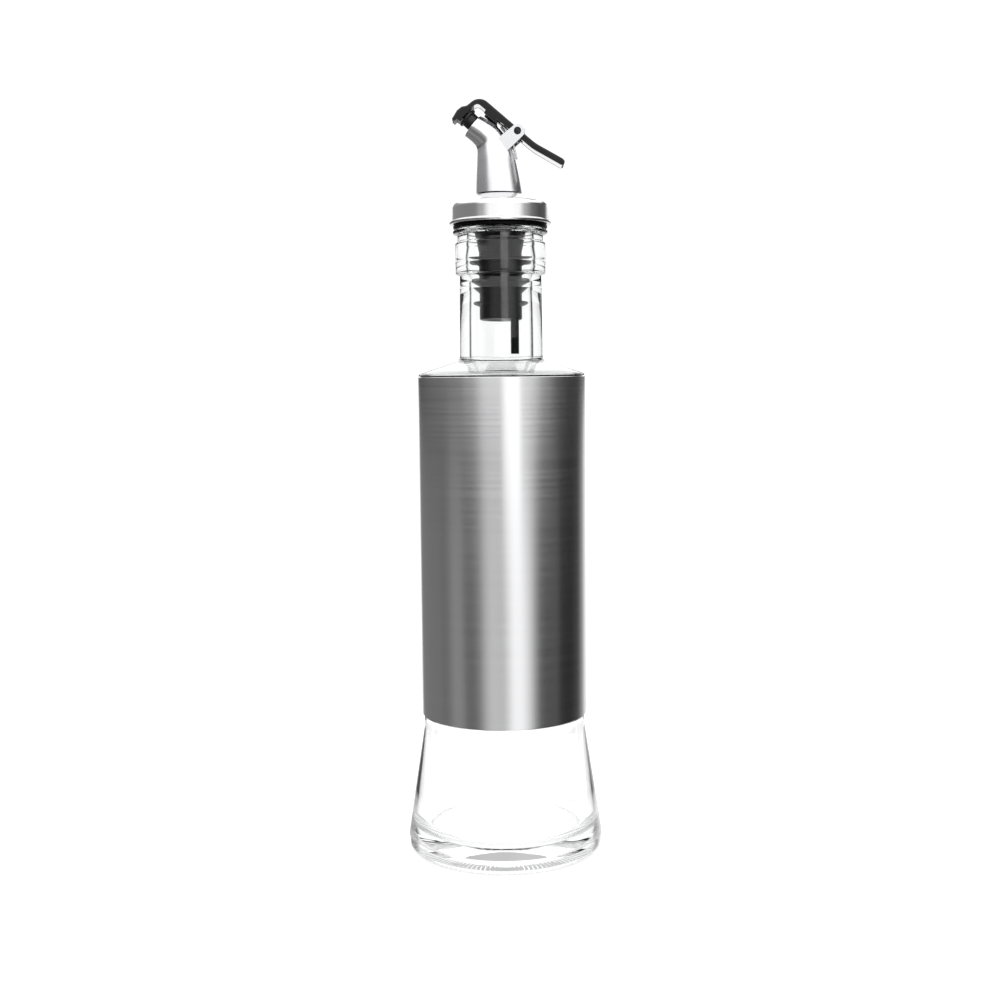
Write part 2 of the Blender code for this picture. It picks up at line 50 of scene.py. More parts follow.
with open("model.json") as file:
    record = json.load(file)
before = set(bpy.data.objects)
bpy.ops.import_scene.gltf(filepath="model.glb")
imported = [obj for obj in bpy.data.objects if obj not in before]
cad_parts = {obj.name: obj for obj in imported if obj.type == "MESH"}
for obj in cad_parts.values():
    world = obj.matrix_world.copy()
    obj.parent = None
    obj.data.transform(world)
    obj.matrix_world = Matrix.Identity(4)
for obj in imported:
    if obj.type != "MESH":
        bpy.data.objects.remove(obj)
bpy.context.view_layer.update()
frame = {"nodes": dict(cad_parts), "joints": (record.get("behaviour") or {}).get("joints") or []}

MM = 0.001
SHARP_ANGLE = 32.0           # degrees; a sharper edge than this is shown as a crease
CLEARANCE = 0.3              # between pieces that touch
FINE_CLEARANCE = 0.2         # the same, between the small pieces of the lever


def box_mm(node):
    """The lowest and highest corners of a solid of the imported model, in millimetres."""
    low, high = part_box(node)
    return low / MM, high / MM


def joint_place(name):
    """The point that a hinge turns about, in millimetres."""
    place = next(joint["pos_m"] for joint in frame["joints"] if joint["name"] == name)
    return Vector(place) / MM


# Driving dimensions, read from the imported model.
BASE_R = box_mm("glass_bottle")[1].x
LIP_TOP = box_mm("glass_bottle")[1].z
SLEEVE_R = box_mm("steel_sleeve")[1].x
SLEEVE_LOW = box_mm("steel_sleeve")[0].z
SLEEVE_TOP = box_mm("steel_sleeve")[1].z
FLANGE_R = box_mm("rubber_stopper")[1].x
FLANGE_TOP = box_mm("rubber_stopper")[1].z
STOPPER_LOW = box_mm("rubber_stopper")[0].z
TUBE_LOW = box_mm("breather_tube")[0].z
TUBE_TOP = box_mm("breather_tube")[1].z
TUBE_R = (box_mm("breather_tube")[1].x - box_mm("breather_tube")[0].x) / 2
TUBE_X = box_mm("breather_tube")[1].x - TUBE_R
CAP_BEAD_R = box_mm("steel_cap")[1].x
CAP_LOW = box_mm("steel_cap")[0].z
CAP_CROWN = box_mm("steel_cap")[1].z
SPOUT_LOW = box_mm("spout_body")[0].z
EAR_OUT = box_mm("hinge_bracket")[1].y
PIN_END = box_mm("pivot_pin")[1].y
PIVOT = joint_place("lever_hinge")


# ---------------------------------------------------------------- properties

def length(name, description, default):
    """A length that a user would change, in millimetres."""
    return FloatProperty(name=name, description=description, default=default, min=0.0, soft_max=100.0)


def colour(name, description, default):
    return FloatVectorProperty(
        name=name, description=description, subtype="COLOR", size=3, min=0.0, max=1.0, default=default
    )


class BottleSettings(PropertyGroup):
    wall: length("Wall", "Thickness of the glass wall, in millimetres", 3.2)
    floor: length("Floor", "Height of the inside of the floor, in millimetres", 7.0)
    neck_r: length("Neck radius", "Outside radius of the neck, in millimetres", 14.95)
    bore_r: length("Neck bore", "Inside radius of the neck, in millimetres", 11.0)
    sheet: length("Sleeve sheet", "Thickness of the sleeve's sheet, in millimetres", 0.45)
    stipples: IntProperty(name="Stipples", description="Marks round the foot ring", default=110, min=0)
    glass: colour("Glass", "Tint of the glass", (0.985, 0.993, 0.99))
    steel: colour("Sleeve steel", "Colour of the brushed sleeve", (0.66, 0.66, 0.668))


class StopperSettings(PropertyGroup):
    body_r: length("Body radius", "Radius of the stopper between its fins, in millimetres", 7.7)
    fin_tip: length("Fin tip", "Thickness of a fin at its rim, in millimetres", 0.4)
    rubber: colour("Rubber", "Colour of the rubber", (0.002, 0.002, 0.0022))
    tube: colour("Tube", "Colour of the breather tube", (0.005, 0.005, 0.0053))


class PourerSettings(PropertyGroup):
    cap_r: length("Cap radius", "Radius of the cap's side, in millimetres", 17.4)
    shoulder: length("Shoulder height", "Height of the cap's shoulder above its lower edge", 7.5)
    cap_sheet: length("Cap sheet", "Thickness of the cap's sheet, in millimetres", 0.6)
    spout_wall: length("Spout wall", "Thickness of the spout's wall, in millimetres", 1.25)
    wire_r: length("Wire radius", "Radius of the spring's wire, in millimetres", 0.45)
    cap_steel: colour("Cap steel", "Colour of the satin cap", (0.72, 0.72, 0.725))
    nickel: colour("Spout", "Colour of the satin spout", (0.74, 0.735, 0.755))
    bright: colour("Bright steel", "Colour of the bracket and the spring", (0.6, 0.605, 0.615))


class LeverSettings(PropertyGroup):
    half: length("Half width", "Half of the lever's width at its head, in millimetres", 3.8)
    tail_half: length("Tail half width", "Half of the lever's width at its tail", 4.4)
    strip: length("Strip", "Thickness of the steel strip, in millimetres", 0.4)
    edge: length("Edge", "Radius of the cover's upper edges, in millimetres", 1.1)
    plastic: colour("Plastic", "Colour of the lever's cover", (0.007, 0.007, 0.0073))
    steel: colour("Strip steel", "Colour of the strip", (0.86, 0.86, 0.87))


# ---------------------------------------------------------------- outlines

def rounded(corners, steps=8):
    """A closed outline from corners (a, b, radius), with an arc at each corner that has a radius."""
    outline = []
    count = len(corners)
    for i, (a, b, radius) in enumerate(corners):
        here = Vector((a, b))
        if radius <= 0:
            outline.append(here)
            continue
        back = (Vector(corners[i - 1][:2]) - here).normalized()
        ahead = (Vector(corners[(i + 1) % count][:2]) - here).normalized()
        half = back.angle(ahead) / 2
        centre = here + (back + ahead).normalized() * (radius / math.sin(half))
        start = here + back * (radius / math.tan(half)) - centre
        end = here + ahead * (radius / math.tan(half)) - centre
        sweep = start.angle_signed(end)
        for k in range(steps + 1):
            outline.append(centre + Matrix.Rotation(-sweep * k / steps, 2) @ start)
    return outline


def smooth_stations(stations, steps):
    """Stations of any numbers, with more between them on a smooth curve through them all."""
    ends = [stations[0]] + list(stations) + [stations[-1]]
    fine = []
    for p0, p1, p2, p3 in zip(ends, ends[1:], ends[2:], ends[3:]):
        for k in range(steps):
            t = k / steps
            fine.append(tuple(
                0.5 * (2 * b + (c - a) * t + (2 * a - 5 * b + 4 * c - d) * t * t
                       + (3 * b - a - 3 * c + d) * t ** 3)
                for a, b, c, d in zip(p0, p1, p2, p3)
            ))
    fine.append(tuple(stations[-1]))
    return fine


# ---------------------------------------------------------------- meshes

def finished(name, bm, material, body, *nodes, slot, place=None, sharp=SHARP_ANGLE):
    """Makes the object of a bmesh in millimetres, and lets it ride on its body for its solids."""
    bmesh.ops.remove_doubles(bm, verts=bm.verts, dist=1e-4)
    bmesh.ops.recalc_face_normals(bm, faces=bm.faces)
    if place:
        bmesh.ops.transform(bm, matrix=place, verts=bm.verts)
    bmesh.ops.scale(bm, vec=(MM, MM, MM), verts=bm.verts)
    mesh = bpy.data.meshes.new(name)
    bm.to_mesh(mesh)
    bm.free()
    mesh.shade_smooth()
    mesh.set_sharp_from_angle(angle=math.radians(sharp))
    obj = bpy.data.objects.new(name, mesh)
    bpy.context.scene.collection.objects.link(obj)
    if material:
        mesh.materials.append(material)
    if body:
        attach(obj, body)
        if nodes:
            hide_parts(*nodes)
    return obj


def cutter(bm, place=None):
    """A shape to carve with."""
    return finished("cutter", bm, None, None, slot=None, place=place)


def carve(obj, tool, operation="DIFFERENCE", sharp=SHARP_ANGLE):
    """Cuts a closed tool out of obj for good, or joins it on, and removes the tool."""
    modifier = obj.modifiers.new("carve", "BOOLEAN")
    modifier.operation = operation
    modifier.solver = "MANIFOLD"
    modifier.object = tool
    bpy.context.view_layer.update()
    seen = obj.evaluated_get(bpy.context.evaluated_depsgraph_get())
    mesh = bpy.data.meshes.new_from_object(seen)
    obj.modifiers.clear()
    obj.data = mesh
    mesh.name = obj.name
    mesh.shade_smooth()
    mesh.set_sharp_from_angle(angle=math.radians(sharp))
    bpy.data.objects.remove(tool, do_unlink=True)


def spun(profile, segments=128, closed=True, axis=(0, 0, 1)):
    """A bmesh turned about an axis, from a profile of (distance from the axis, place along it)."""
    bm = bmesh.new()
    axis, across = Vector(axis), Vector((1, 0, 0))
    verts = [bm.verts.new(across * r + axis * h) for r, h in profile]
    pairs = list(zip(verts, verts[1:]))
    if closed:
        pairs.append((verts[-1], verts[0]))
    edges = [bm.edges.new(pair) for pair in pairs]
    bmesh.ops.spin(
        bm, geom=verts + edges, cent=(0, 0, 0), axis=axis, angle=math.tau, steps=segments, use_merge=True
    )
    bmesh.ops.remove_doubles(bm, verts=bm.verts, dist=1e-4)
    return bm


def lofted(stations, segments=64):
    """A bmesh of circles (x, z, tilt towards -X, radius), bridged into a closed ring of walls."""
    bm = bmesh.new()
    loops = []
    for x, z, tilt, radius in stations:
        place = Matrix.Translation((x, 0, z)) @ Matrix.Rotation(-math.radians(tilt), 4, "Y")
        made = bmesh.ops.create_circle(bm, segments=segments, radius=radius, matrix=place)
        loops.append(list(dict.fromkeys(edge for v in made["verts"] for edge in v.link_edges)))
    for low, high in zip(loops, loops[1:] + loops[:1]):
        bmesh.ops.bridge_loops(bm, edges=low + high)
    bmesh.ops.recalc_face_normals(bm, faces=bm.faces)
    return bm


def rolled_lip(station, edge, steps=4):
    """The circles that turn a wall over into its upper rim. A negative edge is for a bore."""
    x, z, tilt, radius = station
    lean = math.radians(tilt)
    circles = []
    for k in range(steps + 1):
        turn = math.pi / 2 * k / steps
        back = abs(edge) * (1 - math.sin(turn))
        inward = edge * (1 - math.cos(turn))
        circles.append((x + back * math.sin(lean), z - back * math.cos(lean), tilt, radius - inward))
    return circles


def plate(outline, half_width, edge=0.0, slices=(), y=0.0, top_edge=0.0):
    """An outline in X and Z, thick along Y, with rounded rims. Its half width may follow x.

    A top_edge rounds only the rims along sides that face up.
    """
    bm = bmesh.new()
    bm.faces.new([bm.verts.new((x, -1.0, z)) for x, z in outline])
    for x in slices:
        whole = bm.verts[:] + bm.edges[:] + bm.faces[:]
        bmesh.ops.bisect_plane(bm, geom=whole, plane_co=(x, 0, 0), plane_no=(1, 0, 0))
    far = bmesh.ops.extrude_face_region(bm, geom=bm.faces[:])["geom"]
    bmesh.ops.translate(bm, vec=(0, 2, 0), verts=[v for v in far if isinstance(v, bmesh.types.BMVert)])
    for v in bm.verts:
        v.co.y = y + v.co.y * (half_width(v.co.x) if callable(half_width) else half_width)
    bmesh.ops.recalc_face_normals(bm, faces=bm.faces)
    if top_edge:
        soften(bm, [e for e in bm.edges if is_rim(e) and faces_up(e)], top_edge, 6)
    elif edge:
        soften(bm, [e for e in bm.edges if is_rim(e)], edge, 3)
    return bm


def soften(bm, edges, offset, segments):
    """Rounds edges over."""
    bmesh.ops.bevel(
        bm, geom=edges, offset=offset, affect="EDGES", segments=segments, profile=0.5, material=-1
    )


def is_rim(edge):
    """Whether an edge lies between a plate's flat face and its side."""
    flat = [abs(face.normal.y) > 0.8 for face in edge.link_faces]
    return len(flat) == 2 and flat[0] != flat[1]


def faces_up(edge):
    """Whether a side at the edge faces up, at least in part."""
    return max(face.normal.z for face in edge.link_faces) > 0.3


def even_shading(obj):
    """Lets the large flat faces set the shading of the small ones round them."""
    modifier = obj.modifiers.new("even_shading", "WEIGHTED_NORMAL")
    modifier.keep_sharp = True


def brick(low, high):
    """A plain block, to cut with."""
    bm = bmesh.new()
    bmesh.ops.create_cube(bm, size=1.0)
    low, high = Vector(low), Vector(high)
    bmesh.ops.scale(bm, vec=high - low, verts=bm.verts)
    bmesh.ops.translate(bm, vec=(low + high) / 2, verts=bm.verts)
    return bm


def peg(x, z, radius, half_length, segments=48):
    """A plain rod along Y, to cut or join with."""
    bm = spun(
        [(0.0, -half_length), (radius, -half_length), (radius, half_length), (0.0, half_length)],
        segments, closed=False, axis=(0, 1, 0),
    )
    bmesh.ops.translate(bm, vec=(x, 0, z), verts=bm.verts)
    return bm


# ---------------------------------------------------------------- materials

def node(tree, kind, *values, settings=None, **named):
    """Adds a node. Values go into its inputs in order, None is left alone, and a socket is linked."""
    made = tree.nodes.new("ShaderNode" + kind)
    for key, value in (settings or {}).items():
        setattr(made, key, value)
    pairs = [(made.inputs[i], value) for i, value in enumerate(values)]
    pairs += [(made.inputs[key.replace("_", " ")], value) for key, value in named.items()]
    for socket, value in pairs:
        if isinstance(value, bpy.types.NodeSocket):
            tree.links.new(value, socket)
        elif value is not None:
            socket.default_value = value
    return made


def math_node(tree, operation, *values):
    return node(tree, "Math", *values, settings={"operation": operation}).outputs[0]


def ramp(tree, factor, stops):
    """A colour ramp of grey stops (position, brightness)."""
    made = node(tree, "ValToRGB", factor)
    elements = made.color_ramp.elements
    for element, (place, value) in zip(elements, (stops[0], stops[-1])):
        element.position = place
        element.color = (value, value, value, 1)
    for place, value in stops[1:-1]:
        elements.new(place).color = (value, value, value, 1)
    return made.outputs["Color"]


def blend_colours(tree, factor, first, second):
    """Turns one colour into another, as the factor goes from 0 to 1. Each is a socket or a value."""
    mix = node(tree, "Mix", settings={"data_type": "RGBA"})
    factor_in, first_in, second_in = mix.inputs["Factor"], mix.inputs[6], mix.inputs[7]
    for socket, value in ((factor_in, factor), (first_in, first), (second_in, second)):
        if isinstance(value, bpy.types.NodeSocket):
            tree.links.new(value, socket)
        else:
            socket.default_value = value
    return mix.outputs[2]


def shader_of(name, base, metallic, roughness, **values):
    """A material with a Principled shader. Returns it, its tree and the shader."""
    material = bpy.data.materials.new(name)
    material.use_nodes = True
    tree = material.node_tree
    shader = tree.nodes["Principled BSDF"]
    shader.inputs["Base Color"].default_value = (*base, 1)
    shader.inputs["Metallic"].default_value = metallic
    shader.inputs["Roughness"].default_value = roughness
    for key, value in values.items():
        shader.inputs[key.replace("_", " ")].default_value = value
    return material, tree, shader


def scaled_place(tree, scale):
    """Object coordinates, stretched by a scale along each axis."""
    place = node(tree, "TexCoord").outputs["Object"]
    return node(tree, "Mapping", place, Scale=scale).outputs["Vector"]


def mottle(tree, shader, scale, base, spread, roughness, rough_spread, bump=0.0, distance=1e-4):
    """Lets colour, roughness and surface vary softly, by noise of a scale along each axis."""
    place = scaled_place(tree, scale)
    noise = node(tree, "TexNoise", Vector=place, Scale=1.0, Detail=4.0).outputs["Fac"]
    dark = (*[c * (1 - spread) for c in base], 1)
    light = (*[min(c * (1 + spread), 1.0) for c in base], 1)
    tree.links.new(blend_colours(tree, noise, dark, light), shader.inputs["Base Color"])
    rough = node(tree, "MapRange", noise, 0.3, 0.7, roughness - rough_spread, roughness + rough_spread)
    tree.links.new(rough.outputs[0], shader.inputs["Roughness"])
    if bump:
        raised = node(tree, "Bump", Strength=bump, Distance=distance, Height=noise)
        tree.links.new(raised.outputs["Normal"], shader.inputs["Normal"])


def shine(tree, shader, strength):
    """Lets a surface give off a little white light, of a strength that is a socket or a value."""
    shader.inputs["Emission Color"].default_value = (1, 1, 1, 1)
    socket = shader.inputs["Emission Strength"]
    if isinstance(strength, bpy.types.NodeSocket):
        tree.links.new(strength, socket)
    else:
        socket.default_value = strength


STIPPLE_TOP = 0.0012         # metres above the floor
FOOT_TOP = 0.012             # metres; the glass below is thick
# The strength of the painted glow in the thick foot
FOOT_PAINTED_GLOW = 0.28


def glass_finish(tint, stipples):
    """Clear glass, with faint waves in its surface, a ring of stipples under its foot and a painted glow
    in its thick foot.
    """
    material, tree, shader = shader_of(
        "polished_glass", tint, 0.0, 0.0, Transmission_Weight=1.0, IOR=1.5
    )
    waves = node(tree, "TexNoise", Vector=scaled_place(tree, (40, 40, 22)), Scale=1.0, Detail=1.0)
    place = node(tree, "SeparateXYZ", node(tree, "TexCoord").outputs["Object"])
    x, y, z = place.outputs
    turn = math_node(tree, "ARCTAN2", y, x)
    marks = math_node(tree, "SINE", math_node(tree, "MULTIPLY", turn, float(stipples)))
    near_floor = math_node(tree, "LESS_THAN", z, STIPPLE_TOP)
    marks = math_node(tree, "MULTIPLY", marks, near_floor)
    height = math_node(tree, "MULTIPLY_ADD", marks, 0.6, waves.outputs["Fac"])
    raised = node(tree, "Bump", Strength=0.5, Distance=0.0002, Height=height)
    tree.links.new(raised.outputs["Normal"], shader.inputs["Normal"])
    # Painted light: the thick foot glows where a ray has been reflected many times in it, standing in
    # for the light that stays inside it and comes out in the end.
    foot_glow_mask = math_node(tree, "GREATER_THAN", node(tree, "LightPath").outputs["Ray Depth"], 4.5)
    foot_glow_mask = math_node(tree, "MULTIPLY", foot_glow_mask, math_node(tree, "LESS_THAN", z, FOOT_TOP))
    shine(tree, shader, math_node(tree, "MULTIPLY", foot_glow_mask, FOOT_PAINTED_GLOW))
    return material


def brushed_finish(name, base, roughness, lines, bump, anisotropy=0.75):
    """Metal brushed round the upright axis: fine level lines, and highlights drawn out up and down."""
    material, tree, shader = shader_of(
        name, base, 1.0, roughness, Anisotropic=anisotropy, Anisotropic_Rotation=0.25
    )
    mottle(tree, shader, (14, 14, lines), base, 0.035, roughness, 0.02, bump, 5e-6)
    tangent = node(tree, "Tangent", settings={"direction_type": "RADIAL", "axis": "Z"})
    tree.links.new(tangent.outputs[0], shader.inputs["Tangent"])
    return material


def satin_finish(name, base, roughness, grain=1500.0, bump=0.08):
    """Plated or bead-blasted metal, with a fine even grain."""
    material, tree, shader = shader_of(name, base, 1.0, roughness)
    mottle(tree, shader, (grain, grain, grain), base, 0.03, roughness, 0.03, bump, 1e-5)
    return material


def polymer_finish(name, base, roughness, grain, bump, specular=0.5):
    """Rubber or moulded plastic, with a fine skin."""
    material, tree, shader = shader_of(name, base, 0.0, roughness, Specular_IOR_Level=specular)
    mottle(tree, shader, (grain, grain, grain), base, 0.12, roughness, 0.05, bump, 2e-5)
    return material


# ---------------------------------------------------------------- the bottle

def glass_profile(settings):
    """From the middle of the underside, up the outside to the mouth, and down the inside."""
    waist_r = SLEEVE_R - 0.6
    recess_r = SLEEVE_R - settings.sheet - CLEARANCE
    shoulder_r = SLEEVE_R - 0.15
    corner_z = SLEEVE_TOP + 0.85
    slope = 0.335            # of the shoulder, outside and inside
    neck_foot = corner_z + slope * (shoulder_r - settings.neck_r)
    collar_low, collar_top, collar_r = LIP_TOP - 16.3, LIP_TOP - 4.7, 16.15
    groove_r, lip_r, mouth_r = 15.35, 17.0, 11.5
    inside_r = recess_r - settings.wall + 0.3
    inner_z = SLEEVE_TOP - 0.3
    outside = [
        (0.0, 2.6, 0),
        (12.0, 2.3, 8),
        (24.0, 1.0, 6),
        (29.5, 0.0, 1.5),
        (BASE_R - 2.0, 0.0, 1.2),
        (BASE_R - 0.3, 1.9, 1.0),
        (BASE_R, 5.6, 0.9),
        (SLEEVE_R + 0.55, SLEEVE_LOW - 12.2, 30.0),
        (waist_r, SLEEVE_LOW - 4.7, 8.0),
        (waist_r, SLEEVE_LOW - CLEARANCE, 0.15),
        (recess_r, SLEEVE_LOW - CLEARANCE, 0),
        (recess_r, SLEEVE_TOP + CLEARANCE, 0),
        (shoulder_r, SLEEVE_TOP + CLEARANCE, 0.1),
        (shoulder_r, corner_z + 0.1, 0.9),
        (settings.neck_r, neck_foot, 2.0),
        (settings.neck_r - 0.22, collar_low - 5.2, 0),
        (settings.neck_r - 0.1, collar_low - 4.9, 0.1),
        (settings.neck_r - 0.25, collar_low - 4.6, 0),
        (settings.neck_r - 0.3, collar_low, 0.4),
        (collar_r, collar_low + 0.5, 0.4),
        (collar_r, collar_low + 4.2, 0),
        (collar_r + 0.14, collar_low + 4.5, 0.1),
        (collar_r, collar_low + 4.8, 0),
        (collar_r, collar_top, 0.6),
        (groove_r, collar_top + 0.4, 0.3),
        (groove_r, LIP_TOP - 1.9, 0.4),
        (lip_r, LIP_TOP - 1.6, 0.65),
        (lip_r, LIP_TOP, 0.75),
        (mouth_r + 0.6, LIP_TOP, 0.5),
    ]
    inside = [
        (mouth_r, LIP_TOP - 0.6, 0.5),
        (mouth_r, LIP_TOP - 6.6, 3.0),
        (mouth_r + 0.5, LIP_TOP - 10.6, 2.0),
        (mouth_r + 0.5, LIP_TOP - 13.1, 2.0),
        (settings.bore_r - 0.15, LIP_TOP - 19.1, 3.0),
        (settings.bore_r, LIP_TOP - 30.1, 0),
        (settings.bore_r, inner_z + slope * (inside_r - settings.bore_r), 2.0),
        (inside_r, inner_z, 3.0),
        (inside_r, SLEEVE_LOW - 4.2, 30.0),
        (BASE_R - settings.wall - 0.6, settings.floor - 0.4, 6.5),
        (18.0, settings.floor + 0.2, 10),
        (0.0, settings.floor + 1.2, 0),
    ]
    return rounded(outside + inside, steps=8)


class OIL_OT_glass(Operator):
    """Blow the glass bottle, with its flared foot, waist, collar and lip"""

    bl_idname = "oilbottle.glass"
    bl_label = "Glass bottle"

    def execute(self, context):
        settings = context.scene.oil_bottle
        material = glass_finish(settings.glass, settings.stipples)
        bm = spun(glass_profile(settings), segments=144, closed=False)
        bottle = finished(
            "clear_bottle", bm, material, "bottle", "glass_bottle", slot="clear_glass", sharp=50
        )
        bottle.visible_shadow = False
        return {"FINISHED"}


# The strength of the painted glow on the sleeve's inner face
INSIDE_PAINTED_GLOW = 0.3


class OIL_OT_sleeve(Operator):
    """Wrap the brushed steel sleeve round the bottle's waist, with its seam at the back"""

    bl_idname = "oilbottle.sleeve"
    bl_label = "Steel sleeve"

    def execute(self, context):
        settings = context.scene.oil_bottle
        inner = SLEEVE_R - settings.sheet
        roll = 0.3
        profile = rounded([
            (inner, SLEEVE_LOW, 0.1),
            (SLEEVE_R, SLEEVE_LOW, roll),
            (SLEEVE_R, SLEEVE_TOP, roll),
            (inner, SLEEVE_TOP, 0.1),
        ], steps=6)
        material = brushed_finish("brushed_sleeve_steel", settings.steel, 0.25, 1100, 0.25)
        sleeve = finished(
            "brushed_sleeve", spun(profile, segments=192), material,
            "bottle", "steel_sleeve", slot="brushed_steel", sharp=40,
        )
        # The inner face gets a painted glow.
        self.paint_inner_glow(material, (SLEEVE_R - settings.sheet / 2) * MM)
        # The butt seam is welded on its inside, and shows as a groove.
        gap, depth = 0.2, 0.25
        low = (-gap / 2, SLEEVE_R - depth, SLEEVE_LOW - 1)
        high = (gap / 2, SLEEVE_R + 2, SLEEVE_TOP + 1)
        carve(sleeve, cutter(brick(low, high)), sharp=40)
        return {"FINISHED"}

    def paint_inner_glow(self, material, middle_r):
        """Painted light: the steel's inner face glows a little, standing in for the light that the glass
        gathers inside it.
        """
        tree = material.node_tree
        x, y = node(tree, "SeparateXYZ", node(tree, "TexCoord").outputs["Object"]).outputs[:2]
        squares = math_node(tree, "MULTIPLY_ADD", x, x, math_node(tree, "MULTIPLY", y, y))
        inner_glow_mask = math_node(tree, "LESS_THAN", math_node(tree, "SQRT", squares), middle_r)
        shine(tree, tree.nodes["Principled BSDF"], math_node(tree, "MULTIPLY", inner_glow_mask, INSIDE_PAINTED_GLOW))


# ---------------------------------------------------------------- the stopper

# The fins: how far each one's top is below the flange's, its radius, and how far its root reaches down.
FINS = ((12.3, 11.4, 2.6), (16.7, 11.1, 2.0), (20.6, 10.5, 2.6), (27.0, 9.95, 1.1))


def stopper_profile(settings):
    """From the floor of the bore, over the flange and down the fins to the stopper's foot."""
    bore_r, body_r = 5.9, settings.body_r
    floor_top = STOPPER_LOW + 6.0
    flange_low = FLANGE_TOP - 1.1
    corners = [
        (0.0, floor_top, 0),
        (bore_r, floor_top, 0.4),
        (bore_r, FLANGE_TOP, 0.3),
        (FLANGE_R, FLANGE_TOP, 0.35),
        (FLANGE_R, flange_low, 0.3),
        (10.6, flange_low, 0.8),
        (9.2, flange_low - 1.6, 1.5),
        (body_r, flange_low - 9.0, 2.0),
    ]
    for below, radius, drop in FINS:
        top = FLANGE_TOP - below
        corners += [
            (body_r, top, 0.15),
            (radius, top + 0.15, 0.12),
            (radius, top + 0.15 - settings.fin_tip, 0.12),
            (body_r + 0.6, top - drop * 0.75, 0.4),
            (body_r, top - drop, 0.15),
        ]
    corners += [(body_r, STOPPER_LOW, 0.6), (0.0, STOPPER_LOW, 0)]
    return rounded(corners, steps=5)


class OIL_OT_stopper(Operator):
    """Mould the finned rubber stopper and set the breather tube in its foot"""

    bl_idname = "oilbottle.stopper"
    bl_label = "Stopper and breather tube"

    def execute(self, context):
        settings = context.scene.oil_stopper
        rubber = polymer_finish("stopper_rubber", settings.rubber, 0.34, 900.0, 0.15, 0.06)
        stopper = finished(
            "finned_stopper", spun(stopper_profile(settings), segments=96, closed=False), rubber,
            "stopper", "rubber_stopper", slot="black_rubber", sharp=50,
        )
        low, high = STOPPER_LOW - 2.0, STOPPER_LOW + 8.0
        seat = TUBE_TOP + CLEARANCE
        holes = (
            (-2.2, 3.0, low, high),
            (TUBE_X, TUBE_R + 0.05, low, seat),
            (TUBE_X - 0.4, 0.85, seat - 1.0, high),
        )
        for x, radius, bottom, top in holes:
            side = [(0, bottom), (radius, bottom), (radius, top), (0, top)]
            hole = spun(side, segments=32, closed=False)
            carve(stopper, cutter(hole, Matrix.Translation((x, 0, 0))), sharp=50)

        plastic = polymer_finish("breather_tube_plastic", settings.tube, 0.3, 700.0, 0.1, 0.08)
        bore = TUBE_R - 0.45
        tube = spun(rounded([
            (bore, TUBE_TOP, 0),
            (TUBE_R, TUBE_TOP, 0),
            (TUBE_R, TUBE_LOW, 0.2),
            (bore, TUBE_LOW, 0.15),
        ], steps=4), segments=48)
        finished(
            "fine_breather_tube", tube, plastic, "stopper", "breather_tube", slot="tube_plastic",
            place=Matrix.Translation((TUBE_X, 0, 0)),
        )
        return {"FINISHED"}


# ---------------------------------------------------------------- the cap and its core

class OIL_OT_cap(Operator):
    """Spin the satin cap with its bead and shallow dome, and finish the plastic core under it"""

    bl_idname = "oilbottle.cap"
    bl_label = "Cap and core"

    def execute(self, context):
        settings = context.scene.oil_pourer
        cap_r, sheet = settings.cap_r, settings.cap_sheet
        shoulder = CAP_LOW + settings.shoulder - 0.1
        inner, hole_r = cap_r - sheet, 6.6
        profile = rounded([
            (inner, CAP_LOW + 0.2, 0.1),
            (inner + 0.3, CAP_LOW, 0.1),
            (CAP_BEAD_R, CAP_LOW, 0.5),
            (CAP_BEAD_R, CAP_LOW + 1.15, 0.5),
            (cap_r, CAP_LOW + 1.3, 0.25),
            (cap_r, shoulder, 2.4),
            (hole_r + 1.9, CAP_CROWN, 4.0),
            (hole_r, CAP_CROWN, 0),
            (hole_r, CAP_CROWN - sheet, 0),
            (hole_r + 1.9, CAP_CROWN - sheet, 3.4),
            (inner, shoulder - sheet, 1.8),
        ], steps=8)
        material = brushed_finish("spun_cap_steel", settings.cap_steel, 0.17, 2500, 0.25, 0.3)
        finished(
            "spun_cap", spun(profile, segments=128), material, "head", "steel_cap", slot="satin_steel",
        )
        core = polymer_finish("core_moulding", (0.02, 0.02, 0.021), 0.5, 1200.0, 0.2)
        frame["nodes"]["cap_core"].data.materials.clear()
        frame["nodes"]["cap_core"].data.materials.append(core)
        return {"FINISHED"}


# ---------------------------------------------------------------- the spout, its bracket, pin and spring

def from_pin(corners):
    """Corners (x, z, ...) that are drawn from the pin's axis, moved to where they belong."""
    return [(PIVOT.x + x, PIVOT.z + z, *rest) for x, z, *rest in corners]


def spout_stations():
    """The spout's middle line and radius: (x, z, tilt in degrees towards -X, radius)."""
    low = SPOUT_LOW
    return [
        (-0.2, low, 0.0, 8.4),
        (-0.75, low + 6.2, 5.0, 7.7),
        (-1.45, low + 12.6, 11.0, 6.8),
        (-2.6, low + 17.6, 14.0, 5.65),
        (-4.65, low + 20.5, 29.0, 5.25),
        (-7.1, low + 22.45, 39.0, 4.85),
        (-9.4, low + 23.95, 50.0, 4.45),
    ]


def mouth():
    """The middle of the nozzle's bore, and its tilt in radians."""
    x, z, tilt = spout_stations()[-1][:3]
    tilt = math.radians(tilt)
    shift = 0.75
    return x + shift * math.cos(tilt), z + shift * math.sin(tilt), tilt


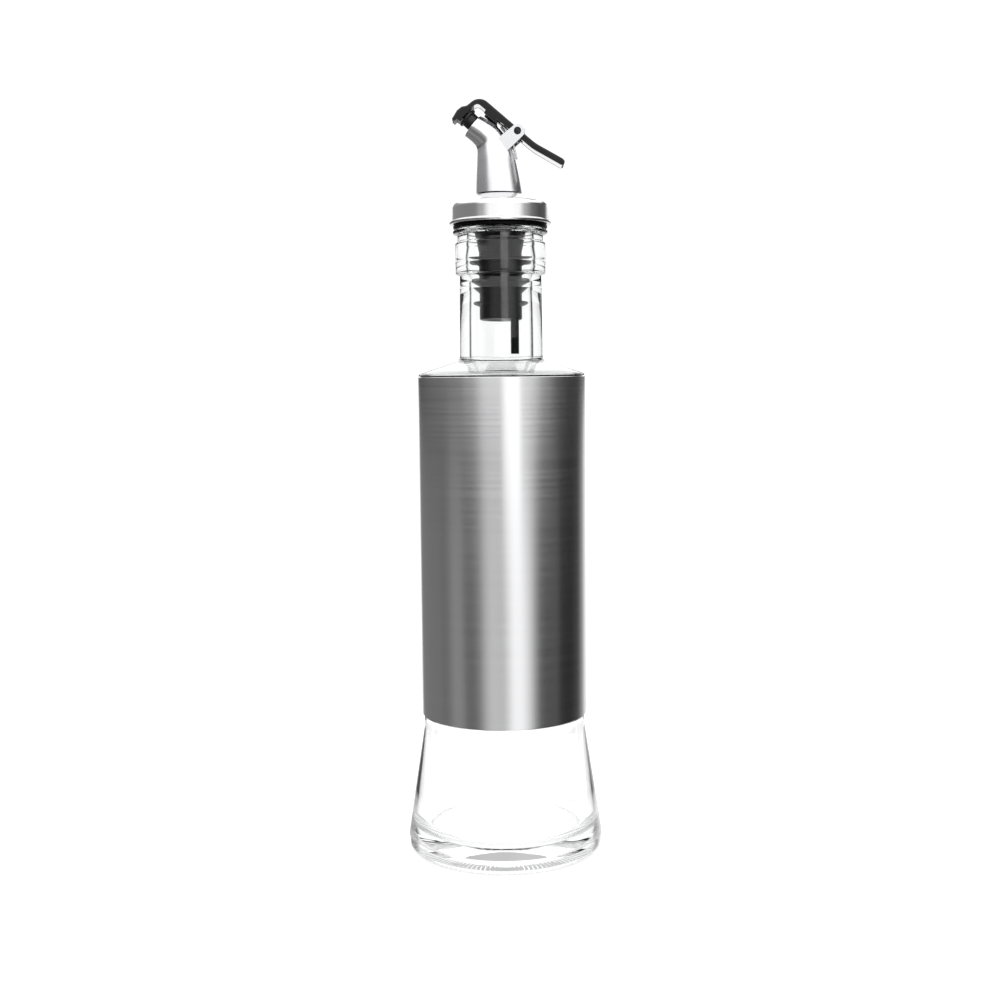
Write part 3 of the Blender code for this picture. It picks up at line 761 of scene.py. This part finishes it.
class OIL_OT_spout(Operator):
    """Cast the curved pouring spout, with its bore and rounded nozzle"""

    bl_idname = "oilbottle.spout"
    bl_label = "Spout"

    def execute(self, context):
        settings = context.scene.oil_pourer
        outside = smooth_stations(spout_stations(), 5)
        wall = settings.spout_wall
        inside = [(x, z, tilt, radius - wall) for x, z, tilt, radius in outside]
        x, z, tilt = mouth()
        blend_count = 6
        for k in range(blend_count):
            t = (k + 1) / blend_count
            i = len(inside) - blend_count + k
            ox, oz, otilt, radius = inside[i]
            inside[i] = (
                ox + (x - outside[-1][0]) * t, oz + (z - outside[-1][1]) * t, otilt,
                radius + (2.45 - (outside[-1][3] - wall)) * t,
            )
        lip = 0.18
        outside[-1:] = rolled_lip(outside[-1], lip)
        inside[-2:] = rolled_lip(inside[-1], -lip)
        bm = lofted(outside + inside[::-1])
        material = satin_finish("spout_nickel", settings.nickel, 0.24)
        finished("curved_spout", bm, material, "head", "spout_body", slot="satin_nickel", sharp=60)
        return {"FINISHED"}


class OIL_OT_bracket(Operator):
    """Press the two-eared bracket on the spout's back and rivet the lever's pin in it"""

    bl_idname = "oilbottle.bracket"
    bl_label = "Bracket and pin"

    def execute(self, context):
        settings = context.scene.oil_pourer
        bright = satin_finish("bracket_steel", settings.bright, 0.14, 900.0, 0.05)
        ear_thick = 0.7
        ear_in = EAR_OUT - ear_thick
        ear = rounded(from_pin([
            (-7.05, -2.55, 0.3),
            (-4.25, -7.55, 0.5),
            (3.48, -0.38, 2.35),
            (0.62, 3.45, 2.35),
        ]), steps=10)
        bm = bmesh.new()
        for side in (-1, 1):
            half = plate(ear, ear_thick / 2, 0.16, y=side * (ear_in + ear_thick / 2))
            mesh = bpy.data.meshes.new("ear")
            half.to_mesh(mesh)
            half.free()
            bm.from_mesh(mesh)
            bpy.data.meshes.remove(mesh)
        bracket = finished("pressed_bracket", bm, bright, "head", "hinge_bracket", slot="bright_steel")
        web = rounded(from_pin([
            (-6.25, -2.35, 0.2),
            (-3.95, -0.95, 0.3),
            (-2.65, -2.65, 0.3),
            (-4.85, -3.95, 0.2),
        ]), steps=4)
        carve(bracket, cutter(plate(web, ear_in + 0.2)), "UNION")
        carve(bracket, cutter(peg(PIVOT.x, PIVOT.z, 0.8, EAR_OUT + 1)))
        even_shading(bracket)

        dark = satin_finish("pin_steel", (0.035, 0.035, 0.037), 0.3, 900.0, 0.05)
        head_in = EAR_OUT + 0.06
        head_r, pin_r = 1.3, 0.7
        right = [
            (pin_r, 0.0, 0),
            (pin_r, head_in, 0),
            (head_r, head_in, 0.08),
            (head_r, PIN_END - 0.06, 0.2),
            (0.95, PIN_END, 0.1),
            (0.85, PIN_END - 0.16, 0.05),
            (0.6, PIN_END - 0.12, 0.05),
            (0.0, PIN_END, 0),
        ]
        left = [(r, -h, radius) for r, h, radius in right[::-1][:-1]]
        pin = spun(rounded(left + right[1:], steps=4), 48, closed=False, axis=(0, 1, 0))
        finished(
            "riveted_pin", pin, dark, "head", "pivot_pin", slot="dark_steel",
            place=Matrix.Translation((PIVOT.x, 0, PIVOT.z)),
        )
        return {"FINISHED"}


def wire(name, route, radius, material, body):
    """A round wire through a route in millimetres, as a mesh."""
    curve = bpy.data.curves.new(name, "CURVE")
    curve.dimensions = "3D"
    curve.bevel_depth = radius * MM
    curve.bevel_resolution = 4
    curve.use_fill_caps = True
    spline = curve.splines.new("POLY")
    spline.points.add(len(route) - 1)
    for point, place in zip(spline.points, route):
        point.co = (*(Vector(place) * MM), 1.0)
    drawn = bpy.data.objects.new("drawn", curve)
    bpy.context.scene.collection.objects.link(drawn)
    bpy.context.view_layer.update()
    seen = drawn.evaluated_get(bpy.context.evaluated_depsgraph_get())
    bm = bmesh.new()
    bm.from_mesh(bpy.data.meshes.new_from_object(seen))
    bpy.data.objects.remove(drawn, do_unlink=True)
    bmesh.ops.scale(bm, vec=(1 / MM, 1 / MM, 1 / MM), verts=bm.verts)
    return finished(name, bm, material, body, slot="spring_steel", sharp=60)


def leg(y, corners):
    """A wire's leg at a place y: a smooth curve through corners (x, z) from the pin's axis."""
    points = [(x, y, z) for x, z in from_pin(corners)]
    return [Vector(point) for point in smooth_stations(points, 5)]


class OIL_OT_spring(Operator):
    """Wind the lever's torsion spring: a coil with a fixed leg, and the leg that pushes the lever"""

    bl_idname = "oilbottle.spring"
    bl_label = "Torsion spring"

    def execute(self, context):
        settings = context.scene.oil_pourer
        steel = satin_finish("spring_wire_steel", settings.bright, 0.12, 900.0, 0.04)
        coil_r, coil_turns, pitch = 1.45, 3, 0.93
        first_y = -pitch * coil_turns / 2
        coil = []
        steps = 32 * coil_turns
        for k in range(steps + 1):
            angle = math.pi - math.tau * (coil_turns - 0.25) * k / steps
            x, z = coil_r * math.cos(angle), coil_r * math.sin(angle)
            coil.append(PIVOT + Vector((x, first_y - 2 * first_y * k / steps, z)))
        fixed_leg = leg(first_y, [
            (-0.2, -9.45),
            (-0.85, -7.15),
            (-1.55, -4.55),
            (-1.6, -2.95),
            (-1.5, -1.35),
        ])
        coil_piece = wire("spring_coil", fixed_leg + coil, settings.wire_r, steel, "head")
        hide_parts("torsion_spring")
        moving_leg = leg(-first_y, [
            (0.0, -coil_r),
            (-1.75, -1.3),
            (-3.15, -0.55),
            (-4.15, 0.35),
            (-5.25, 1.75),
            (-5.75, 2.55),
        ])
        wire("spring_lever_leg", moving_leg, settings.wire_r, steel, "lever")
        return {"FINISHED"}


# ---------------------------------------------------------------- the lever

# How much of its widening the lever has, by the distance behind the pin.
WIDENING = ((4.05, 0.0), (6.75, 0.25), (9.85, 0.75), (12.55, 1.0))
TAIL_STEPS = [(PIVOT.x + behind, share) for behind, share in WIDENING]


def lever_half_width(settings, x):
    """The lever widens towards the end of its tail."""
    for (x0, share0), (x1, share1) in zip(TAIL_STEPS, TAIL_STEPS[1:]):
        if x0 <= x <= x1:
            share = share0 + (share1 - share0) * (x - x0) / (x1 - x0)
            return settings.half + (settings.tail_half - settings.half) * share
    return settings.tail_half if x > x1 else settings.half


def lever_underside(height, start=0.0):
    """The corners of the lever's underside from the arch to the tail, moved up into it by height."""
    return from_pin([
        (-15.65 - height * 0.70 + start * 0.72, 8.75 + height * 0.72 + start * 0.70, 0),
        (-14.3, 10.15 + height * 1.36, 1.6 + height),
        (5.45 + height * 0.57, -6.25 + height * 0.82, 14.0),
        (16.15 + height * 0.5, -12.38 + height * 0.87, 0),
    ])


def cover_outline():
    """From the arch along the underside to the tail, back over the top, and down the nose."""
    rest = from_pin([
        (16.55, -12.61, 1.0),
        (16.75, -9.95, 1.5),
        (6.55, -4.15, 20.0),
        (-13.33, 12.89, 4.5),
        (-17.95, 9.25, 1.5),
        (-19.75, 8.95, 1.5),
        (-21.45, 7.65, 1.5),
        (-23.3, 4.65, 0.5),
        (-22.45, 3.55, 0.45),
        (-21.45, 4.55, 0.2),
        (-20.75, 3.75, 0.45),
    ])
    return rounded(lever_underside(0.0)[:-1] + rest, steps=8)


def on_mouth():
    """The place of what stands on the nozzle, nearly along its axis."""
    x, z, tilt = mouth()
    x -= CLEARANCE * math.sin(tilt)
    z += CLEARANCE * math.cos(tilt)
    lean = math.radians(46)
    return Matrix.Translation((x, 0, z)) @ Matrix.Rotation(-lean, 4, "Y")


class OIL_OT_lever(Operator):
    """Mould the lever's cover with its cheeks and eye, and inlay the steel strip under it"""

    bl_idname = "oilbottle.lever"
    bl_label = "Lever cover and strip"

    def execute(self, context):
        settings = context.scene.oil_lever
        half, lip, sink, slot = settings.half, 0.47, 0.05, 1.9
        slices = [x for x, share in TAIL_STEPS]
        plastic = polymer_finish("lever_plastic", settings.plastic, 0.3, 1400.0, 0.12, 0.25)

        def width(x):
            return lever_half_width(settings, x)

        def pocket_width(x):
            return lever_half_width(settings, x) - lip

        bm = plate(cover_outline(), width, slices=slices, top_edge=settings.edge)
        cover = finished("lever_moulding", bm, plastic, "lever", "lever_cover", slot="black_plastic")
        cheeks = rounded(from_pin([
            (-11.85, 6.55, 0.3),
            (-10.15, 5.05, 1.5),
            (-6.85, 2.15, 0.3),
            (-7.45, 4.85, 0),
            (-9.45, 6.85, 0),
            (-10.85, 8.05, 0),
        ]), steps=4)
        cheek = cutter(plate(cheeks, half - 0.05))
        between = from_pin([(-13.45, 3.85), (-5.95, -1.15), (-5.95, 4.85), (-12.45, 10.85)])
        carve(cheek, cutter(plate(between, half - 0.75)))
        carve(cover, cheek, "UNION")
        eye = cutter(peg(PIVOT.x, PIVOT.z, 2.3, half - 0.05))
        below = from_pin([(-5.45, 2.83), (4.55, -5.47), (0.55, -10.15), (-7.45, -4.15)])
        carve(eye, cutter(plate(below, half + 1)))
        coil_room = 2.1
        for piece in (cover, eye):
            low = (PIVOT.x - coil_room, -slot, PIVOT.z - 4)
            high = (PIVOT.x + coil_room, slot, PIVOT.z + 4)
            carve(piece, cutter(brick(low, high)))
        carve(cover, eye, "UNION")
        carve(cover, cutter(peg(PIVOT.x, PIVOT.z, 0.88, half + 1)))
        pocket_top = sink + settings.strip + FINE_CLEARANCE
        pocket = rounded(lever_underside(-1.0, 0.3)[::-1] + lever_underside(pocket_top, 0.3), steps=8)
        carve(cover, cutter(plate(pocket, pocket_width, slices=slices)))
        even_shading(cover)

        steel = satin_finish("lever_strip_steel", settings.steel, 0.13, 900.0, 0.05)
        start = 0.3 + FINE_CLEARANCE
        top = lever_underside(sink + settings.strip, start)[:-1] + from_pin([(15.93, -11.83, 0)])
        bottom = lever_underside(sink, start)[:-1] + from_pin([(15.73, -12.1, 0)])

        def strip_width(x):
            return lever_half_width(settings, x) - lip - FINE_CLEARANCE / 2

        bm = plate(rounded(bottom[::-1] + top, steps=8), strip_width, 0.06, slices)
        strip = finished("inlaid_strip", bm, steel, "lever", "lever_strip", slot="lever_steel")
        window = brick((PIVOT.x - 6.85, -slot, PIVOT.z - 8), (PIVOT.x + slot, slot, PIVOT.z + 6))
        carve(strip, cutter(window))
        even_shading(strip)
        return {"FINISHED"}


class OIL_OT_seal(Operator):
    """Turn the rubber seal that the lever presses on the nozzle"""

    bl_idname = "oilbottle.seal"
    bl_label = "Nozzle seal"

    def execute(self, context):
        rubber = polymer_finish("seal_rubber_skin", context.scene.oil_stopper.rubber, 0.36, 1200.0, 0.12)
        body_r, flange_r, height, flange = 2.9, 3.6, 3.4, 1.0
        profile = rounded([
            (0.0, 0.0, 0),
            (body_r, 0.0, 0.35),
            (body_r, height - flange, 0.25),
            (flange_r, height - flange, 0.3),
            (flange_r, height, 0.35),
            (1.2, height, 0),
            (1.2, height + 1.6, 0.2),
            (0.0, height + 1.6, 0),
        ], steps=6)
        finished(
            "turned_seal", spun(profile, segments=64, closed=False), rubber, "lever", "nozzle_seal",
            slot="seal_rubber", place=on_mouth(),
        )
        return {"FINISHED"}


# ---------------------------------------------------------------- the stage

# The studio's panels in tiers, the lowest first. Each has the sine of the elevation where it takes
# over from the one below, from and to, and its brightness by degrees from the camera to the right.
TIERS = (
    (None, (
        (-180, 1.0), (-165, 1.0), (-158, 0.24), (-100, 0.22), (-92, 0.18), (-80, 0.24), (-74, 0.34),
        (-62, 0.32), (-54, 0.16), (-44, 0.13), (-34, 0.24), (-26, 0.56), (-17, 0.78), (0, 0.66),
        (6, 0.9), (13, 1.35), (26, 1.4), (36, 1.0), (44, 0.45), (51, 0.13), (60, 0.075), (80, 0.1),
        (88, 0.03), (108, 0.025), (128, 0.08), (146, 0.5), (156, 1.0), (180, 1.0),
    )),
    ((0.0, 0.006), (
        (-180, 0.04), (-60, 0.06), (-2, 0.05), (4, 2.2), (22, 2.2), (28, 0.05), (70, 0.04), (180, 0.04),
    )),
    ((0.118, 0.124), (
        (-180, 1.6), (-160, 1.6), (-150, 0.35), (-100, 0.3), (-48, 0.24), (-41, 0.26), (-34, 0.8),
        (-26, 1.5), (46, 1.5), (54, 0.85), (60, 0.36), (84, 0.22), (108, 0.1), (135, 0.14),
        (160, 1.6), (180, 1.6),
    )),
    ((0.2, 0.27), (
        (-180, 1.6), (-165, 1.6), (-150, 0.4), (-72, 0.36), (-60, 0.5), (-50, 1.5), (66, 1.5),
        (74, 0.8), (82, 0.18), (100, 0.1), (156, 0.1), (166, 1.6), (180, 1.6),
    )),
    ((0.42, 0.5), ((-180, 1.6), (180, 1.6))),
)
# The same for what is seen through the glass: plain at the sides and behind, but for a narrow dark
# panel on both sides, and dark in front but for one light.
THROUGH = (
    (-180, 1.1), (-129, 1.1), (-123, 0.1), (-116, 0.1), (-110, 1.1), (-75, 1.1), (-60, 0.05),
    (-2, 0.05), (4, 2.0), (22, 2.0), (28, 0.05), (60, 0.05), (75, 1.1), (104, 1.1), (112, 0.03),
    (124, 0.03), (131, 1.1), (180, 1.1),
)
SOFT_SHARE = 0.6             # how plain they are as a light on matt surfaces
FLOOR_R = 200.0
FLOOR_GLOW = 0.25


class OIL_OT_stage(Operator):
    """Lay the pale floor, hang the soft studio lights and place the camera"""

    bl_idname = "oilbottle.stage"
    bl_label = "Stage"

    def execute(self, context):
        scene = context.scene
        scene.view_settings.view_transform = "Standard"
        self.lay_floor()
        self.light(scene)
        self.aim(scene)
        return {"FINISHED"}

    def lay_floor(self):
        bm = bmesh.new()
        bmesh.ops.create_circle(bm, cap_ends=True, segments=96, radius=FLOOR_R)
        material, tree, shader = shader_of("pale_floor", (0.93, 0.93, 0.93), 0.0, 0.6)
        shader.inputs["Specular IOR Level"].default_value = 0.0
        shine(tree, shader, FLOOR_GLOW)
        mottle(tree, shader, (6, 6, 6), (0.93, 0.93, 0.93), 0.01, 0.6, 0.02)
        floor = finished("floor", bm, material, None, slot=None)
        floor.visible_glossy = False

    def light(self, scene):
        world = bpy.data.worlds.new("studio")
        scene.world = world
        world.use_nodes = True
        tree = world.node_tree
        place = node(tree, "SeparateXYZ", node(tree, "TexCoord").outputs["Generated"])
        x, y, z = place.outputs
        turn = math_node(tree, "ARCTAN2", x, math_node(tree, "MULTIPLY", y, -1.0))
        share = math_node(tree, "MULTIPLY_ADD", turn, 1 / math.tau, 0.5)
        panels = None
        for heights, stops in TIERS:
            tier = self.panels_of(tree, share, stops)
            if panels:
                above = node(tree, "MapRange", z, *heights).outputs[0]
                tier = blend_colours(tree, above, panels, tier)
            panels = tier
        # The panels show in gloss. The light itself is plain, and the glass has panels of its own.
        rays = node(tree, "LightPath").outputs
        through = self.panels_of(tree, share, THROUGH)
        panels = blend_colours(tree, rays["Is Transmission Ray"], panels, through)
        soft = math_node(tree, "MULTIPLY", rays["Is Diffuse Ray"], SOFT_SHARE)
        plain = math_node(tree, "MAXIMUM", rays["Is Camera Ray"], soft)
        around = blend_colours(tree, plain, panels, (0.55, 0.55, 0.55, 1))
        background = tree.nodes["Background"]
        background.inputs["Strength"].default_value = 2.0
        tree.links.new(around, background.inputs["Color"])

    def panels_of(self, tree, share, stops):
        """A ramp of the brightness round the stage. The background doubles it."""
        return ramp(tree, share, [(angle / 360 + 0.5, value / 2) for angle, value in stops])

    def aim(self, scene):
        camera = bpy.data.cameras.new("camera")
        camera.lens = 49.392
        camera.sensor_width = 36.0
        camera.shift_x = -0.0026
        camera.clip_start = 0.01
        obj = bpy.data.objects.new("camera", camera)
        distance, height = 0.5, 0.173            # metres from the bottle's axis, and above the floor
        downward, roll = math.radians(5.08), math.radians(-0.52)
        place = Matrix.Translation((0, -distance, height))
        turn = Matrix.Rotation(math.pi / 2 - downward, 4, "X") @ Matrix.Rotation(roll, 4, "Z")
        obj.matrix_world = place @ turn
        scene.collection.objects.link(obj)
        scene.camera = obj


# ---------------------------------------------------------------- the add-on

STEPS = (
    OIL_OT_glass,
    OIL_OT_sleeve,
    OIL_OT_stopper,
    OIL_OT_cap,
    OIL_OT_spout,
    OIL_OT_bracket,
    OIL_OT_spring,
    OIL_OT_lever,
    OIL_OT_seal,
    OIL_OT_stage,
)

GROUPS = {
    "oil_bottle": BottleSettings,
    "oil_stopper": StopperSettings,
    "oil_pourer": PourerSettings,
    "oil_lever": LeverSettings,
}


class OIL_PT_panel(Panel):
    """Lists the bottle's pieces, in the order that they are built"""

    bl_label = "Oil Bottle"
    bl_idname = "OIL_PT_panel"
    bl_space_type = "VIEW_3D"
    bl_region_type = "UI"
    bl_category = "Oil Bottle"

    def draw(self, context):
        layout = self.layout
        for name, group in GROUPS.items():
            box = layout.box()
            for setting in group.__annotations__:
                box.prop(getattr(context.scene, name), setting)
        for step in STEPS:
            layout.operator(step.bl_idname)


CLASSES = (*GROUPS.values(), *STEPS, OIL_PT_panel)


def register():
    for cls in CLASSES:
        bpy.utils.register_class(cls)
    for name, group in GROUPS.items():
        setattr(bpy.types.Scene, name, PointerProperty(type=group))


def unregister():
    for name in GROUPS:
        delattr(bpy.types.Scene, name)
    for cls in reversed(CLASSES):
        bpy.utils.unregister_class(cls)


def main():
    register()
    for step in STEPS:
        group, name = step.bl_idname.split(".")
        getattr(getattr(bpy.ops, group), name)()


if __name__ == "__main__":
    main()
